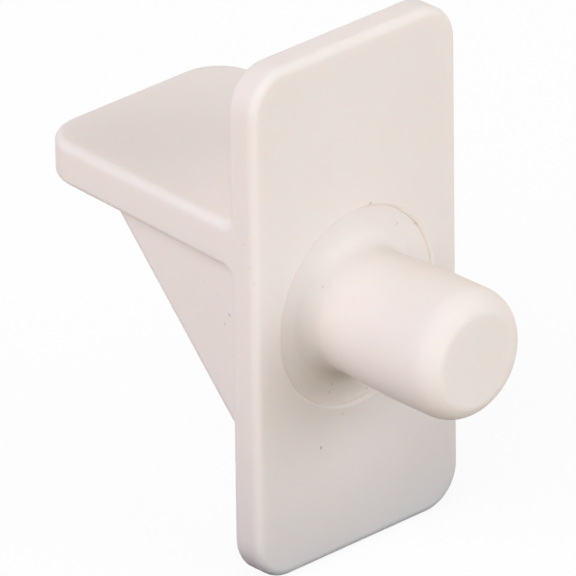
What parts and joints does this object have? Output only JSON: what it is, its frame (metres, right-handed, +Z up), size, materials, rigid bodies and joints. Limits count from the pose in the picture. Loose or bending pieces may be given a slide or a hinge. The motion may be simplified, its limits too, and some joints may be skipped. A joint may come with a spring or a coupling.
{
  "type": "shelf support pin",
  "caption": "Moulded plastic shelf support pin: an upright plate with a round peg for a cabinet side and, behind it, a gusseted ledge that carries the shelf.",
  "frame": {"origin": "on the peg's axis, in the plane of the plate's wall face", "axes": "-Y along the peg into the cabinet side, +Y along the ledge away from it, +Z up"},
  "size_m": [0.0126, 0.0229, 0.0254],
  "materials": {
    "ivory_plastic": "satin moulded plastic, ivory white"
  },
  "bodies": {
    "root": {"shelf_pin": "ivory_plastic"}
  },
  "joints": []
}
